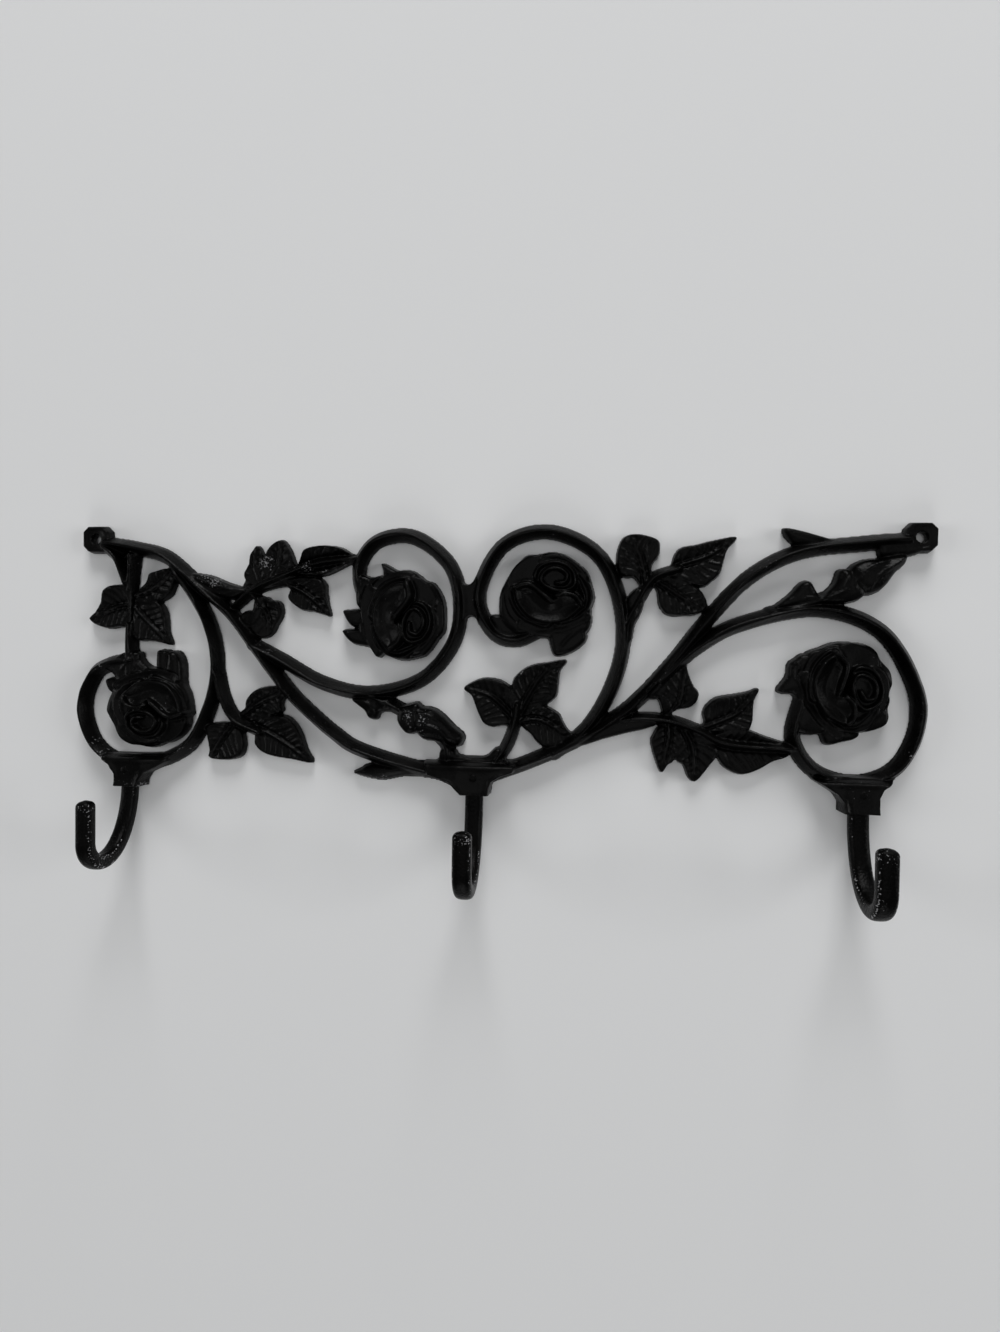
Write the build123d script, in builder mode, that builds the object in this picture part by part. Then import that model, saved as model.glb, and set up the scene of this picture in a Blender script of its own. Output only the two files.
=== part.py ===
from build123d import *
import os
from math import cos, radians, sin

os.makedirs("parts", exist_ok=True)

# Triple wall hook: a cast iron panel of rose scrolls with three riveted J hooks.
# Millimetres. X runs along the panel, Z is up, the ground back lies on Y = 0 and the front looks to -Y.
# The origin is midway between the two wall screws, on the back.

# Panel
screw_span = 500.0
panel_drop = 158.0
grind = 2.0

# Wall tabs
tab_width = 19.0
tab_height = 18.0
tab_corner = 4.0
tab_thickness = 6.5
screw_hole_d = 5.5

# Stems
stem_width = 10.4
stem_height = 9.0
ridge_width = 4.2

# Leaves, bracts and buds
leaf_rib = 7.4
leaf_valley = 4.8
leaf_rib_width = 2.8
leaf_lift = 0.17
bud_height = 12.0
bud_shoulder = 8.5
bud_shoulder_width = 9.0
bud_edge = 3.0
bud_edge_width = 19.0
bract_height = 7.8

# Roses
rose_body = 8.2
petal_rim = 1.8
petal_dish = 2.2

# Hook bosses
boss_width = 18.6
boss_depth = 14.0
boss_draft = 4.0
boss_flare = 5.5
boss_neck = 13.0
boss_head = 20.5
boss_plate = 3.2

# Hooks
bar_width = 11.2
bar_thickness = 9.4
bend_radius = 22.0
tip_rise = 17.0
tip_chamfer = 2.2
shank_drop = {"hook_left": 19.7, "hook_middle": 26.2, "hook_right": 26.2}
seat_clearance = 0.15
seat_length = 19.0

# Rivets
rivet_d = 4.8
rivet_rise = 0.5
rivet_clearance = 0.1
rivet_above_foot = 11.5

# Places in the drawing of the wall screws and of the foot of each boss, which carries a hook
screws = {"tab_left": (-250, 0), "tab_right": (250, 0)}
boss_feet = {"hook_left": (-226, -157.5), "hook_middle": (-3.5, -155.5), "hook_right": (219, -158)}

# The drawing stretches with the screw span and the drop.
drawn_span = screws["tab_right"][0] - screws["tab_left"][0]
drawn_drop = -boss_feet["hook_right"][1]


def at(x, z):
    return (x * screw_span / drawn_span, z * panel_drop / drawn_drop)


# Centre lines of the stems: height above the standard one, and points from one end to the other
stems = {
    "vine_left": (
        0.5,
        [(-246, -2), (-224, -5.5), (-204, -11), (-184, -27), (-161, -46), (-142, -70), (-124, -93)],
    ),
    "vine_lower": (
        0.2,
        [(-131, -84), (-120, -97), (-107, -109), (-92, -121), (-77, -130), (-42, -140), (-8, -146)],
    ),
    "post": (-0.3, [(-225.5, -4), (-227.5, -28), (-228, -60), (-227, -88)]),
    "post_bracket": (-0.4, [(-245, -4), (-236.5, -11.5), (-230, -27)]),
    "scroll_left": (
        0.0,
        [(-226, -77), (-241, -79), (-253, -87), (-260, -109), (-249, -134.5), (-222, -144)]
        + [(-189.5, -131.5), (-174, -103), (-170, -75), (-178, -47), (-198, -17)],
    ),
    "scroll_two": (
        -0.2,
        [(-146, -66), (-128, -75), (-100, -89.5), (-70, -95), (-38, -86), (-18.5, -63.5), (-14.5, -38)]
        + [(-22, -14.5), (-44, 1.5), (-66, -1), (-77.5, -16), (-75, -34), (-64, -42)],
    ),
    "scroll_three": (
        0.3,
        [(44, -129), (63.5, -113.5), (78, -88), (84.5, -60), (80, -30), (66, -7), (38, 4.5), (11, -4.5)]
        + [(-3, -33), (5, -55), (20, -61), (38, -53)],
    ),
    "vine_right": (
        0.4,
        [(0, -146), (35, -132), (66, -116), (90, -99), (112, -75), (132, -49), (156, -23), (184, -8)]
        + [(220, -3), (247, -1)],
    ),
    "scroll_right": (
        -0.1,
        [(106, -84), (126, -65), (152, -50), (195, -41), (230, -53), (249, -83), (251.5, -108), (240, -132)]
        + [(218, -141), (195, -134.5), (183, -116), (187, -94)],
    ),
    "stalk_centre": (-0.6, [(4, -142), (15.5, -125), (20.5, -110), (22, -100)]),
    "stalk_upper_right": (-0.7, [(84, -53), (91.5, -39), (101, -24), (116, -18)]),
    "stalk_lower_right": (
        -0.4,
        [(74, -110), (92, -106.5), (112, -107.5), (128, -112.5), (146, -120), (184, -122)],
    ),
    "stalk_left": (-0.5, [(-169.5, -82), (-165, -100), (-157, -113), (-140, -121)]),
    "stalk_bud_left": (-0.9, [(-74, -95), (-58, -101), (-40, -111), (-22, -125), (-21, -141)]),
    "stalk_bud_right": (-0.8, [(168, -44), (190, -38), (206, -32), (220, -24)]),
    "stalk_upper_left": (-0.35, [(-158, -42), (-144, -31), (-128, -24), (-106, -16), (-78, -12)]),
}

# Leaves: base, one edge, tip, other edge back to the base, in straight runs between the points of the edge
leaves = {
    "post_left": [(-226, -41), [(-232, -30), (-241, -28), (-249, -34)], (-258, -50), [(-243, -57)]],
    "post_upper": [(-229, -35), [(-219, -24), (-210, -18)], (-198, -15), [(-200, -28), (-206, -37)]],
    "post_lower": [(-229, -41), [(-217, -36), (-208, -42), (-205, -54)], (-202, -66.5), [(-213, -66)]],
    "top_left": [(-143, -31), [(-152, -24), (-152, -14)], (-144, -3), [(-138, -11)]],
    "top_middle": [(-139, -27), [(-138, -13), (-135, -4)], (-127, 1), [(-122, -7), (-124, -20)]],
    "top_right": [(-122, -20), [(-117, -8), (-106, -3), (-94, -3)], (-76, -10), [(-88, -21), (-104, -26)]],
    "top_lower": [(-129, -23), [(-124, -35), (-112, -44)], (-96.5, -47), [(-99, -33), (-106, -20)]],
    "fork_left": [(-149, -33), [(-130, -38), (-128, -47)], (-138.5, -60.5), [(-148, -50)]],
    "side_upper": [(-156, -115), [(-152, -103), (-144, -93)], (-126, -91), [(-129, -105), (-141, -114)]],
    "side_left": [(-160, -113), [(-172, -116), (-178, -127)], (-176, -138.5), [(-162, -140), (-153, -131)]],
    "side_tip": [(-153, -115), [(-140, -108), (-125, -109), (-115, -120)], (-107.5, -139.5), [(-133, -138)]],
    "centre_left": [(21, -111), [(15, -88), (3, -84)], (-11.5, -91), [(-5, -106), (4, -114)]],
    "centre_top": [(21, -111), [(18, -86), (30, -75)], (50.5, -73.2), [(46, -90), (37, -102)]],
    "centre_right": [(20, -108), [(36, -101), (47, -104)], (57, -121), [(40, -126), (30, -118)]],
    "ring_leaf": [(92, -33), [(82, -22), (80, -8)], (85, 3), [(100, 0), (104, -8), (100, -20)]],
    "upper_tip": [(101, -23), [(113, -14), (119, -5), (133, -2)], (150, 2), [(141, -14), (128, -28)]],
    "upper_lower": [(101, -24), [(104, -38), (113, -46)], (127, -44.5), [(132, -36), (120, -24)]],
    "lower_upper": [(112, -109), [(105, -92), (110, -78)], (121, -72), [(129, -92), (122, -101)]],
    "lower_left": [(113, -106), [(104, -113), (102, -123)], (108, -138.5), [(115, -131), (119, -120)]],
    "lower_middle": [(122, -109), [(114, -122), (119, -135)], (127, -144), [(136, -134), (141, -124)]],
    "lower_top": [(128, -113.5), [(132, -102), (143, -92)], (164, -87.5), [(161, -103), (157, -114)]],
    "lower_right": [(136, -117), [(150, -111), (165, -114)], (186, -122), [(168, -136), (154, -139)]],
    "thorn_low": [(-44, -138), [(-60, -136), (-72, -139)], (-80.5, -145), [(-64, -148.6), (-44, -145)]],
    "thorn_top": [(214, -5), [(196, 1.5)], (175, 6), [(181, -3), (198, -8)]],
}

# Buds and bracts, drawn as the leaves are but with a crowned front
buds = {
    "bud_left": [(-46, -108), [(-38, -101), (-25, -106)], (-11.5, -120), [(-16, -127.5), (-36, -124)]],
    "bud_right": [(207, -33), [(212, -17), (222, -12)], (247, -6.5), [(240, -18), (229, -31)]],
}
bracts = {
    "bract_vine": [(-191, -22), [(-178, -21), (-164, -26)], (-150, -32), [(-161, -37), (-176, -34)]],
    "bract_ring_two": [(-60, -95), [(-76, -96), (-83, -99.5)], (-69, -111.3), [(-60, -104)]],
    "bract_bud": [(-44, -101), [(-52, -103), (-52, -113)], (-46.5, -119), [(-40, -115)]],
    "bract_right": [(172, -41), [(180, -31)], (190, -24.5), [(195, -31), (200, -38)]],
    "bract_bud_right": [(196, -37), [(204, -26), (210, -17.3)], (219, -22), [(221, -33)]],
}

# Roses: outline of the body, then petals as centre, length, width, height, tilt, lean and dish
roses = {
    "rose_one": (
        [(-228, -77), (-214, -83), (-210, -72), (-199, -71), (-190, -88), (-190, -108), (-198, -125)]
        + [(-217, -133), (-236, -127), (-244, -107), (-242, -88)],
        [
            ((-215, -93), 31, 27, 13.0, 12, 90, petal_dish),
            ((-214, -110), 22, 19, 15.5, 8, 270, 0),
            ((-229, -116), 31, 15, 11.0, 14, 215, 0),
            ((-202, -113), 30, 15, 11.6, 14, 310, 0),
        ],
    ),
    "rose_two": (
        [(-64, -15), (-46, -18), (-30, -26), (-23, -43), (-24, -57), (-36, -71), (-51, -76), (-70, -69)]
        + [(-88, -58), (-84, -51), (-88, -44), (-76, -32)],
        [
            ((-59, -46), 32, 28, 13.2, 12, 190, petal_dish),
            ((-41, -49), 23, 20, 15.7, 8, 320, 0),
            ((-40, -33), 30, 15, 11.2, 13, 45, 0),
            ((-46, -64), 32, 15, 10.6, 14, 285, 0),
        ],
    ),
    "rose_three": (
        [(9, -33), (17, -16), (28, -9), (43, -7), (60, -15), (68, -31), (66, -47), (62, -61), (48, -70)]
        + [(40, -61), (18, -57), (8, -47)],
        [
            ((39, -38), 32, 28, 13.4, 12, 265, petal_dish),
            ((45, -22), 23, 20, 15.9, 8, 60, 0),
            ((24, -23), 32, 16, 11.4, 13, 150, 0),
            ((56, -48), 32, 15, 10.2, 14, 320, 0),
        ],
    ),
    "rose_four": (
        [(173, -88), (180, -73), (196, -64), (212, -59), (228, -64), (238, -80), (238, -98), (230, -109)]
        + [(204, -120), (196, -113), (184, -108), (181, -94)],
        [
            ((205, -86), 32, 28, 13.1, 12, 180, petal_dish),
            ((222, -84), 22, 19, 15.6, 8, 20, 0),
            ((213, -69), 32, 14, 11.3, 13, 95, 0),
            ((216, -104), 32, 15, 10.7, 13, 290, 0),
        ],
    ),
}

# Pad that joins the two middle scrolls
pad_centre = (-9.0, -35.0)
pad_width = 14.0
pad_height = 23.0
pad_thickness = 7.6

foot_z = -panel_drop
hook_x = {name: at(*foot)[0] for name, foot in boss_feet.items()}
hook_foot = {name: at(*foot)[1] for name, foot in boss_feet.items()}
tab_x = [at(*screw)[0] for screw in screws.values()]
channel_depth = boss_depth - boss_plate
shank_y = seat_clearance + bar_thickness / 2 - channel_depth
tip_y = shank_y - 2 * bend_radius
rivet_hole_d = rivet_d + 2 * rivet_clearance


def make_stem(width, height, points):
    with BuildPart() as bar:
        with BuildLine(Plane.XZ) as centre_line:
            Spline(*[at(x, z) for x, z in points])
        start = centre_line.edge()
        with BuildSketch(Plane(start @ 0, x_dir=(0, -1, 0), z_dir=start % 0)):
            foot = width / 2
            ridge = ridge_width / 2
            with BuildLine():
                Polyline((-grind, -foot), (height, -ridge), (height, ridge), (-grind, foot), close=True)
            make_face()
        sweep(path=centre_line.wire())
    return bar.part


def draw_straight(points):
    Polyline(*[at(x, z) for x, z in points])


def make_relief(base, edge_out, tip, edge_back, front):
    """A flat outline whose front is cut to a profile that runs from the base to the tip."""
    foot = Vector(*at(*base))
    point = Vector(*at(*tip))
    along = Vector(point.X - foot.X, 0, point.Y - foot.Y)
    reach = along.length
    with BuildPart() as relief:
        with BuildSketch(Plane.XZ.offset(-grind)):
            with BuildLine():
                draw_straight([base, *edge_out, tip, *edge_back, base])
            make_face()
        extrude(amount=grind + boss_depth)
        with BuildSketch(Plane((foot.X, 0, foot.Y), x_dir=(0, -1, 0), z_dir=along)):
            with BuildLine():
                Polyline((-2 * grind, -reach), *front(reach), (-2 * grind, reach), close=True)
            make_face()
        extrude(amount=2 * reach, both=True, mode=Mode.INTERSECT)
    return relief.part


def leaf_front(reach):
    half = leaf_rib_width / 2
    rim = leaf_valley + leaf_lift * (reach - half)
    return [(rim, -reach), (leaf_valley, -half), (leaf_rib, 0), (leaf_valley, half), (rim, reach)]


def bud_front(reach):
    edge = [(bud_edge, bud_edge_width / 2), (bud_shoulder, bud_shoulder_width / 2)]
    left = [(height, -side) for height, side in edge]
    right = [(height, side) for height, side in reversed(edge)]
    return [(bud_edge, -reach), *left, (bud_height, 0), *right, (bud_edge, reach)]


def bract_front(reach):
    fall = leaf_lift * reach
    return [(bract_height - fall, -reach), (bract_height, 0), (bract_height - fall, reach)]


def draw_petal(length, width):
    ThreePointArc((-length / 2, 0), (0, width / 2), (length / 2, 0))
    ThreePointArc((length / 2, 0), (0, -width / 2), (-length / 2, 0))


def make_petal(centre, length, width, height, tilt, lean, dish):
    """A petal that leans out from the heart of the rose, with a raised rim where it is dished."""
    x, z = at(*centre)
    sideways = sin(radians(tilt))
    facing = (sideways * cos(radians(lean)), -cos(radians(tilt)), sideways * sin(radians(lean)))
    across = (-sin(radians(lean)), 0, cos(radians(lean)))
    sunk = length * sideways
    with BuildPart() as petal:
        with BuildSketch(Plane((x, 0, z), x_dir=across, z_dir=facing).offset(-sunk)):
            with BuildLine():
                draw_petal(length, width)
            make_face()
        extrude(amount=height + sunk)
        if dish:
            with BuildSketch(Plane((x, 0, z), x_dir=across, z_dir=facing).offset(height)):
                with BuildLine():
                    draw_petal(length - 2 * petal_rim, width - 2 * petal_rim)
                make_face()
            extrude(amount=-dish, mode=Mode.SUBTRACT)
    return petal.part


def make_rose_body(outline):
    with BuildPart() as body:
        with BuildSketch(Plane.XZ.offset(-grind)):
            with BuildLine():
                draw_straight([*outline, outline[0]])
            make_face()
        extrude(amount=grind + rose_body)
    return body.part


def make_boss(x, foot):
    half = boss_width / 2
    with BuildPart() as boss:
        with BuildSketch(Plane.XZ.offset(-grind)):
            with BuildLine():
                Polyline(
                    (x - half, foot),
                    (x - half, foot + boss_neck),
                    (x - half - boss_flare, foot + boss_head),
                    (x + half + boss_flare, foot + boss_head),
                    (x + half, foot + boss_neck),
                    (x + half, foot),
                    close=True,
                )
            make_face()
        extrude(amount=grind + boss_depth, taper=boss_draft)
    return boss.part


def make_tab(x):
    with BuildPart() as tab:
        with BuildSketch(Plane.XZ.offset(-grind)):
            with Locations((x, 0)):
                tab_outline = Rectangle(tab_width, tab_height)
            chamfer(tab_outline.vertices(), tab_corner)
        extrude(amount=grind + tab_thickness)
    return tab.part


def make_pad():
    with BuildPart() as pad:
        with BuildSketch(Plane.XZ.offset(-grind)):
            with Locations(at(*pad_centre)):
                Rectangle(pad_width, pad_height)
        extrude(amount=grind + pad_thickness)
    return pad.part


castings = [make_stem(stem_width, stem_height + more, points) for more, points in stems.values()]
castings += [make_relief(*drawing, leaf_front) for drawing in leaves.values()]
castings += [make_relief(*drawing, bud_front) for drawing in buds.values()]
castings += [make_relief(*drawing, bract_front) for drawing in bracts.values()]
for outline, petals in roses.values():
    castings.append(make_rose_body(outline))
    castings += [make_petal(*petal) for petal in petals]
castings += [make_boss(hook_x[name], hook_foot[name]) for name in hook_x]
castings += [make_tab(x) for x in tab_x]
castings.append(make_pad())

# Scroll panel: everything cast as one, ground flat behind, with a channel behind each boss
with BuildPart() as cuts:
    with BuildSketch(Plane.XZ):
        Rectangle(2 * screw_span, 4 * panel_drop)
    extrude(amount=-boss_depth)
    with BuildSketch(Plane.XZ):
        for name in hook_x:
            with Locations((hook_x[name], hook_foot[name])):
                Rectangle(bar_width + 2 * seat_clearance, 2 * seat_length)
    extrude(amount=channel_depth)
    with BuildSketch(Plane.XZ):
        for name in hook_x:
            with Locations((hook_x[name], hook_foot[name] + rivet_above_foot)):
                Circle(rivet_hole_d / 2)
        with Locations(*[(x, 0) for x in tab_x]):
            Circle(screw_hole_d / 2)
    extrude(amount=boss_depth + grind)

with BuildPart() as scroll_panel:
    add(castings, clean=False)
    add(cuts.part, mode=Mode.SUBTRACT)

scroll_panel.part.label = "scroll_panel"
export_step(scroll_panel.part, "parts/scroll_panel.step")


# Hooks: a bar bent to a J, its shank riveted in the channel behind the boss
for name, x in hook_x.items():
    rivet_z = hook_foot[name] + rivet_above_foot
    shank_top = hook_foot[name] + seat_length - seat_clearance
    bend_z = foot_z - shank_drop[name]
    with BuildPart() as hook:
        with BuildLine(Plane.YZ.offset(x)) as bar_line:
            Line((shank_y, shank_top), (shank_y, bend_z))
            RadiusArc((shank_y, bend_z), (tip_y, bend_z), bend_radius)
            Line((tip_y, bend_z), (tip_y, bend_z + tip_rise))
        with BuildSketch(Plane((x, shank_y, shank_top), x_dir=(1, 0, 0), z_dir=(0, 0, -1))):
            Rectangle(bar_width, bar_thickness)
        sweep(path=bar_line.wire())
        tip_end = hook.faces().filter_by(Axis.Z).sort_by(Axis.Y)[0]
        chamfer(tip_end.edges(), tip_chamfer)
        with BuildSketch(Plane.XZ):
            with Locations((x, rivet_z)):
                Circle(rivet_hole_d / 2)
        extrude(amount=channel_depth, mode=Mode.SUBTRACT)
    hook.part.label = name
    export_step(hook.part, "parts/" + name + ".step")

# Rivets: one through each boss and shank, standing a little proud in front
with BuildPart() as hook_rivets:
    with BuildSketch(Plane.XZ.offset(-shank_y - bar_thickness / 2)):
        for name in hook_x:
            with Locations((hook_x[name], hook_foot[name] + rivet_above_foot)):
                Circle(rivet_d / 2)
    extrude(amount=boss_depth + rivet_rise + shank_y + bar_thickness / 2)
hook_rivets.part.label = "hook_rivets"
export_step(hook_rivets.part, "parts/hook_rivets.step")
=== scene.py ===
import math

import bpy
import numpy as np
import openvdb
from mathutils import Matrix, Vector


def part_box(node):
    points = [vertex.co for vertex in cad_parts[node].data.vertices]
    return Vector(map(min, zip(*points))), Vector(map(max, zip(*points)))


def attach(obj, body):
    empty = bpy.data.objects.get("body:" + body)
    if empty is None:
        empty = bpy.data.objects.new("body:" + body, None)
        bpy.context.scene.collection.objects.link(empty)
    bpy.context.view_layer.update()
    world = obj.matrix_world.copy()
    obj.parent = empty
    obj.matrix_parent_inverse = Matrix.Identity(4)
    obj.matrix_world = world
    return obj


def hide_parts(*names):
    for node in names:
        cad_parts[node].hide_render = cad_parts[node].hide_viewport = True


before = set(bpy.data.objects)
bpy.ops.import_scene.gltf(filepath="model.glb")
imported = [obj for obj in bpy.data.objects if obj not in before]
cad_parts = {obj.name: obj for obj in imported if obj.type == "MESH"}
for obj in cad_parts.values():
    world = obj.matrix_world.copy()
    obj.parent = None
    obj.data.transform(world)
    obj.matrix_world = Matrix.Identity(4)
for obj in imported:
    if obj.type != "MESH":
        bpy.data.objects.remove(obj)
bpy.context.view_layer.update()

# Lengths are in millimetres until a mesh is made. X runs along the rack, Z is up, and a height is
# measured from the back towards the viewer, who stands at -Y.
MM = 0.001
# The relief is a field of heights on a grid this fine, with this much spare room round the panel
GRID = 0.55
MARGIN = 2.1
# Height of empty ground, how steeply the sides of a form rise, how far a side lies outside its drawn
# edge, and how softly a form runs into the one below it
FLOOR = -5.0
WALL = 6.0
FLARE = 0.8
SOFT = 0.7
# Points on each run of a smooth line
CURVE_STEPS = 10

# Viewer: where the camera stands, its axes and its lens
CAMERA_POS = (63.6, -460.6, -66.4)
CAMERA_RIGHT = (0.99327, 0.11500, 0.01396)
CAMERA_DOWN = (0.01647, -0.02091, -0.99965)
CAMERA_FORWARD = (-0.11466, 0.99315, -0.02266)
LENS_PER_HEIGHT = 760.0 / 1332.0
DRAWN_HEIGHT = 3.0

rng = np.random.default_rng(7)


def node_box(name):
    """The two corners of a CAD node's box, in millimetres."""
    low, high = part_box(name)
    return np.array(low) / MM, np.array(high) / MM


panel_low, panel_high = node_box("scroll_panel")
xs = np.arange(panel_low[0] - MARGIN, panel_high[0] + MARGIN, GRID)
zs = np.arange(panel_low[2] - MARGIN, panel_high[2] + MARGIN, GRID)
X, Z = np.meshgrid(xs, zs, indexing="ij")
H = np.full(X.shape, FLOOR)


def drawn(points, height):
    """Points drawn as the viewer sees them on the drawing's plane, brought to their own height."""
    foot = np.array([CAMERA_POS[0], CAMERA_POS[2]])
    reach = (-CAMERA_POS[1] - height) / (-CAMERA_POS[1] - DRAWN_HEIGHT)
    return foot + (np.asarray(points, float) - foot) * reach


def curve(points, closed=False):
    """A smooth line through the points."""
    p = np.asarray(points, float)
    if closed:
        p = np.vstack([p[-1], p, p[0], p[1]])
    else:
        p = np.vstack([2 * p[0] - p[1], p, 2 * p[-1] - p[-2]])
    t = np.linspace(0, 1, CURVE_STEPS, endpoint=False)[:, None]
    runs = []
    for a, b, c, d in zip(p[:-3], p[1:-2], p[2:-1], p[3:]):
        runs.append(b + 0.5 * t * (c - a + t * (2 * a - 5 * b + 4 * c - d + t * (3 * (b - c) + d - a))))
    line = np.vstack(runs)
    return line if closed else np.vstack([line, p[-2]])


def window(line, margin):
    """The part of the grid that a line and its surroundings take up."""
    low = line.min(axis=0) - margin
    high = line.max(axis=0) + margin
    i = np.searchsorted(xs, [low[0], high[0]])
    k = np.searchsorted(zs, [low[1], high[1]])
    return slice(i[0], i[1]), slice(k[0], k[1])


def measure(line, win):
    """Distance to the line, which side it lies on, and how far along the line the nearest point is."""
    x, z = X[win], Z[win]
    best = np.full(x.shape, 1e9)
    side = np.zeros(x.shape)
    along = np.zeros(x.shape)
    step = np.diff(line, axis=0)
    length = np.hypot(step[:, 0], step[:, 1])
    start = np.concatenate([[0], np.cumsum(length)])
    for (ax, az), (dx, dz), run, s in zip(line[:-1], step, length, start):
        if run == 0:
            continue
        t = np.clip(((x - ax) * dx + (z - az) * dz) / run**2, 0, 1)
        ox, oz = x - ax - t * dx, z - az - t * dz
        d = ox * ox + oz * oz
        near = d < best
        best[near] = d[near]
        side[near] = (dx * oz - dz * ox)[near]
        along[near] = (s + t * run)[near]
    return np.sqrt(best), np.sign(side), along, start[-1]


def inside(line, win):
    """Distance to a closed line, positive inside it."""
    closed = np.vstack([line, line[:1]])
    distance = measure(closed, win)[0]
    x, z = X[win], Z[win]
    odd = np.zeros(x.shape, bool)
    for (ax, az), (bx, bz) in zip(closed[:-1], closed[1:]):
        if az != bz:
            odd ^= ((az > z) != (bz > z)) & (x < (bx - ax) * (z - az) / (bz - az) + ax)
    return np.where(odd, distance, -distance)


def raise_to(win, height, soft=SOFT):
    """The higher of the relief and the new height, with a soft inner corner between them."""
    old = H[win]
    mix = np.clip(0.5 + 0.5 * (height - old) / soft, 0, 1)
    H[win] = old * (1 - mix) + height * mix + soft * mix * (1 - mix)


def paint(win, height, depth, soft):
    """The new height in place of the old one, inside an outline."""
    share = np.clip(depth / soft + 0.3, 0, 1)
    H[win] = H[win] * (1 - share) + height * share


# Half a stem's width, and its section: how far the front has dropped at each distance from the middle
STEM_HALF = 4.9
STEM_SECTION = ([0.0, 0.4, 0.9, 4.6, 5.0, 5.6], [0.0, 0.08, 0.5, 5.6, 6.4, 9.0])


def stem(points, height=9.0, half=STEM_HALF, taper=1.0):
    """A bar with steep sides and a narrow rounded ridge, which may taper along its run."""
    line = curve(points)
    win = window(line, half + 3)
    d, side, along, total = measure(line, win)
    slim = 1 + (taper - 1) * along / total
    off = np.abs(d * side) / slim
    front = height * slim - np.interp(off * STEM_HALF / half, *STEM_SECTION)
    raise_to(win, np.minimum(front, WALL * (half * slim - d)))


# Height of the front that fine lines and worn places are drawn on
FRONT_HEIGHT = 8.0
# Ground lower than this isn't part of a form
GROUND = 0.5
CREASE_RISE = 0.7
CREASE_WIDTH = 0.9
CREASE_ENDS = 4.0


def crease(points):
    """A fine raised line that runs out at both ends."""
    line = curve(drawn(points, FRONT_HEIGHT))
    win = window(line, 4 * CREASE_WIDTH)
    d, _, along, total = measure(line, win)
    fade = np.clip(np.minimum(along, total - along) / CREASE_ENDS, 0, 1)
    H[win] += np.where(H[win] > GROUND, CREASE_RISE * fade * np.exp(-((d / CREASE_WIDTH) ** 2)), 0)


# Leaves: height beside the rib, the rib and the groove beside it, the roll of the edge, and the veins
LEAF_LOW = 4.6
RIB_RISE = 1.4
RIB_FADE = 0.55
GROOVE_DEPTH = 0.8
GROOVE_OFF = 1.9
EDGE_DROP = 1.5
VEIN_STEP = 5.0
VEIN_RISE = 0.55


def leaf(outline, rib, high=6.6):
    """A leaf cupped between a raised rib and a raised edge, with slanting veins."""
    line = curve(drawn(outline, high), closed=True)
    middle = curve(drawn(rib, high))
    win = window(line, 3)
    depth = inside(line, win)
    d, side, along, total = measure(middle, win)
    q = d / (d + np.maximum(depth, 0) + 1e-6)
    fade = 1 - RIB_FADE * along / total
    front = LEAF_LOW + (high - LEAF_LOW) * q**1.8
    front += RIB_RISE * np.exp(-((d / 0.8) ** 2)) * fade
    front -= GROOVE_DEPTH * np.exp(-(((d - GROOVE_OFF) / 0.8) ** 2)) * fade
    front -= EDGE_DROP * np.exp(-np.maximum(depth, 0) / 1.1)
    # The veins slant away from the rib, a little unevenly, and not at the same places on both sides
    phase = (along - 0.75 * d + 0.9 * np.sin(along * 0.31 + 2 * side)) / VEIN_STEP + 0.25 * side
    vein = np.maximum(np.cos(2 * np.pi * phase), 0) ** 3
    front += VEIN_RISE * vein * np.clip(q * 4, 0, 1) * np.clip((1 - q) * 5, 0, 1)
    raise_to(win, np.minimum(front, WALL * (depth + FLARE)))


def dome(outline, edge, crown, reach=8.0):
    """A crowned form that falls round to its edge."""
    line = curve(drawn(outline, edge + crown / 2), closed=True)
    win = window(line, 3)
    depth = inside(line, win)
    fall = 1 - np.clip(depth / reach, 0, 1)
    front = edge + crown * np.sqrt(np.maximum(1 - fall**2, 0))
    raise_to(win, np.minimum(front, WALL * (depth + FLARE)))


def slab(outline, height, round_off=0.8):
    """A flat-fronted block with softened edges."""
    line = np.asarray(outline, float)
    win = window(line, 3)
    depth = inside(line, win)
    edge = np.clip(1 - depth / round_off, 0, 1)
    raise_to(win, np.minimum(height - round_off * edge**2, WALL * depth))


# Petals: the rim rolls down by this much over this run before the face begins
RIM_DROP = 1.5
RIM_RUN = 0.8
RIM_WIDTH = 0.9


def petal(line, rim, dip, run, tilt):
    """A petal laid over what is there, with a rolled rim and a face that dips behind it."""
    win = window(line, 3)
    depth = inside(line, win)
    centre = line.mean(axis=0)
    back = np.maximum(depth, 0)
    sunk = 1 - np.clip((back - RIM_WIDTH) / run, 0, 1)
    front = rim - RIM_DROP * np.exp(-back / RIM_RUN) - dip * (1 - sunk**2)
    front += (X[win] - centre[0]) * tilt[0] + (Z[win] - centre[1]) * tilt[1]
    paint(win, front, depth, RIM_RUN)


# Folds run out over this length at both ends, and into what lies below them this softly
FOLD_ENDS = 3.0
FOLD_SOFT = 0.5


def ridge(line, height, half, climb):
    """A rounded fold at its own height, which may climb along it and runs out at both ends."""
    win = window(line, half + 2)
    d, _, along, total = measure(line, win)
    fade = 1 - np.clip(np.minimum(along, total - along) / FOLD_ENDS, 0, 1)
    front = height + climb * along / total - 1.2 * fade**2 - 1.1 * (d / half) ** 2
    raise_to(win, front - WALL * np.maximum(d - half, 0), FOLD_SOFT)


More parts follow.
